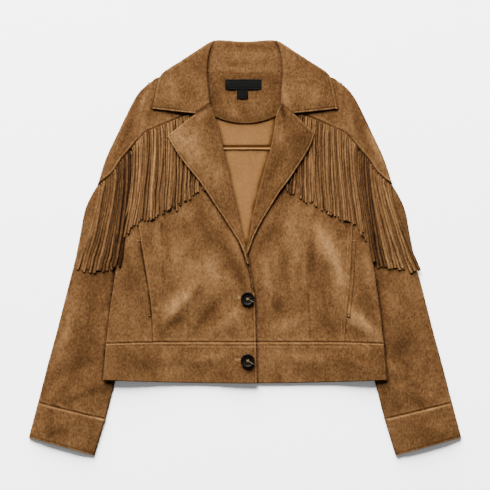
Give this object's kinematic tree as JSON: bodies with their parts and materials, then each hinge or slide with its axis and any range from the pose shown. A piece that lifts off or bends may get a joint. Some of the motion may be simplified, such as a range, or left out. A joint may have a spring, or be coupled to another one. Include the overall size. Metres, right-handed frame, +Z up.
{
  "type": "cropped faux-suede jacket with fringed yokes, laid flat",
  "caption": "Cropped suede-look jacket laid flat and buttoned, with notch lapels, strand fringe along the yoke and sleeve seams, a deep waistband and plain cuffs.",
  "frame": {"origin": "middle of the jacket's bounding box, on the surface that it lies on", "axes": "+X to the wearer's left, the right of the picture, along the longest extent; +Y from hem to collar; +Z up off the surface, the shortest extent"},
  "size_m": [0.6948, 0.6666, 0.0139],
  "materials": {
    "suede": "napped faux suede, tan brown",
    "suede_inside": "inner face of the cloth, lighter and flatter",
    "label_cloth": "black woven label, blank",
    "button_horn": "dark green-black imitation horn"
  },
  "bodies": {
    "root": {"back_band": "suede", "collar_fall": "suede", "collar_left": "suede", "collar_right": "suede", "collar_stand": "suede", "neck_facing": "suede", "cuff_top_left": "suede", "cuff_top_right": "suede", "cuff_under_left": "suede", "cuff_under_right": "suede", "sleeve_top_left": "suede", "sleeve_top_right": "suede", "sleeve_under_left": "suede", "sleeve_under_right": "suede", "sleeve_head_left": "suede", "sleeve_head_right": "suede", "front_left": "suede", "front_right": "suede", "front_yoke_left": "suede", "front_yoke_right": "suede", "side_front_left": "suede", "side_front_right": "suede", "front_band_left": "suede", "front_band_right": "suede", "lapel_left": "suede", "lapel_right": "suede", "pocket_welt_left": "suede", "pocket_welt_right": "suede", "fringe_front_left": "suede", "fringe_front_right": "suede", "fringe_sleeve_left": "suede", "fringe_sleeve_right": "suede", "back_yoke": "suede_inside", "back_panel": "suede_inside", "back_seam_allowance": "suede_inside", "neck_label": "label_cloth", "size_label": "label_cloth", "button_upper": "button_horn", "button_lower": "button_horn"}
  },
  "joints": []
}
